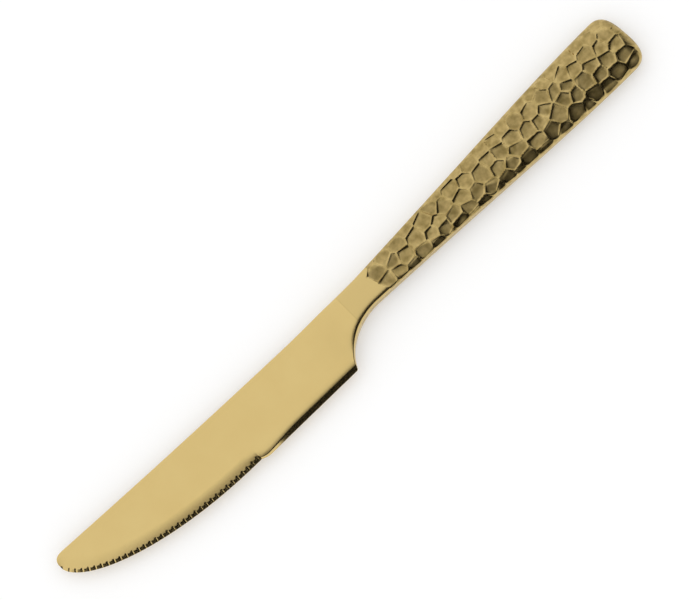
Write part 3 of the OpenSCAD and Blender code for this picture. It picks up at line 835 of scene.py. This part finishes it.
scene = bpy.context.scene
scene.view_settings.view_transform = "Standard"
world = bpy.data.worlds.new("white_tent")
world.use_nodes = True
world.node_tree.nodes["Background"].inputs["Color"].default_value = (1, 1, 1, 1)
world.node_tree.nodes["Background"].inputs["Strength"].default_value = 1.0
scene.world = world


def sheet(name, rows, material):
    """A sheet of quads between rows of equally many points."""
    count = len(rows[0])
    mesh = bpy.data.meshes.new(name)
    mesh.from_pydata([point for row in rows for point in row], [], [
        (k, k + 1, k + 1 + count, k + count)
        for k in range((len(rows) - 1) * count) if (k + 1) % count])
    mesh.materials.append(material)
    piece = bpy.data.objects.new(name, mesh)
    scene.collection.objects.link(piece)
    return piece


def floor_paper():
    material, tree = new_material("white_paper_floor")
    path = add_node(tree, "ShaderNodeLightPath").outputs
    seen = add_node(tree, "ShaderNodeMath", {
        0: path["Is Camera Ray"], 1: path["Is Glossy Ray"]}, operation="MAXIMUM")
    shown = add_node(tree, "ShaderNodeMath", {
        0: seen.outputs[0], 1: path["Is Transmission Ray"]}, operation="MAXIMUM")
    glow = add_node(tree, "ShaderNodeMath", {0: shown.outputs[0], 1: FLOOR_GLOW}, operation="MULTIPLY")
    paper = add_node(tree, "ShaderNodeBsdfDiffuse", {"Color": (FLOOR_GREY, FLOOR_GREY, FLOOR_GREY, 1)})
    white = add_node(tree, "ShaderNodeEmission", {"Color": (1, 1, 1, 1), "Strength": glow.outputs[0]})
    both = add_node(tree, "ShaderNodeAddShader", {0: paper.outputs[0], 1: white.outputs[0]})
    add_node(tree, "ShaderNodeOutputMaterial", {"Surface": both.outputs[0]})
    return material


def black_flag():
    material, tree = new_material("black_velvet_flag")
    place = add_node(tree, "ShaderNodeTexCoord").outputs["Generated"]
    height = add_node(tree, "ShaderNodeSeparateXYZ", {0: place}).outputs["Z"]
    below = add_node(tree, "ShaderNodeMapRange", {
        "Value": height, "From Max": SOLID_FROM, "To Min": 1.0, "To Max": 0.0},
        interpolation_type="SMOOTHSTEP")
    above = add_node(tree, "ShaderNodeMapRange", {
        "Value": height, "From Min": SOLID_TO, "From Max": 1.0}, interpolation_type="SMOOTHSTEP")
    fade = add_node(tree, "ShaderNodeMath", {0: below.outputs[0], 1: above.outputs[0]}, operation="MAXIMUM")
    velvet = add_node(tree, "ShaderNodeBsdfDiffuse", {"Color": (VELVET_GREY, VELVET_GREY, VELVET_GREY, 1)})
    clear = add_node(tree, "ShaderNodeBsdfTransparent")
    blend = add_node(tree, "ShaderNodeMixShader", {
        0: fade.outputs[0], 1: velvet.outputs[0], 2: clear.outputs[0]})
    add_node(tree, "ShaderNodeOutputMaterial", {"Surface": blend.outputs[0]})
    return material


half_floor = FLOOR_SIZE / 2
floor_rows = [[(-half_floor, side, 0), (half_floor, side, 0)] for side in (-half_floor, half_floor)]
floor = sheet("floor", floor_rows, floor_paper())
bearings = np.linspace(FLAG_FROM, FLAG_TO, FLAG_PANELS + 1)
foot = [(FLAG_RADIUS * math.sin(b), -FLAG_RADIUS * math.cos(b), FLAG_FOOT) for b in bearings]
crown = [(FLAG_APEX * math.sin(b), -FLAG_APEX * math.cos(b), FLAG_TOP) for b in bearings]
flag = sheet("flag", [foot, crown], black_flag())
flag.visible_camera = False
flag.visible_diffuse = False
print("floor and flag are stage pieces:", floor.name, flag.name)
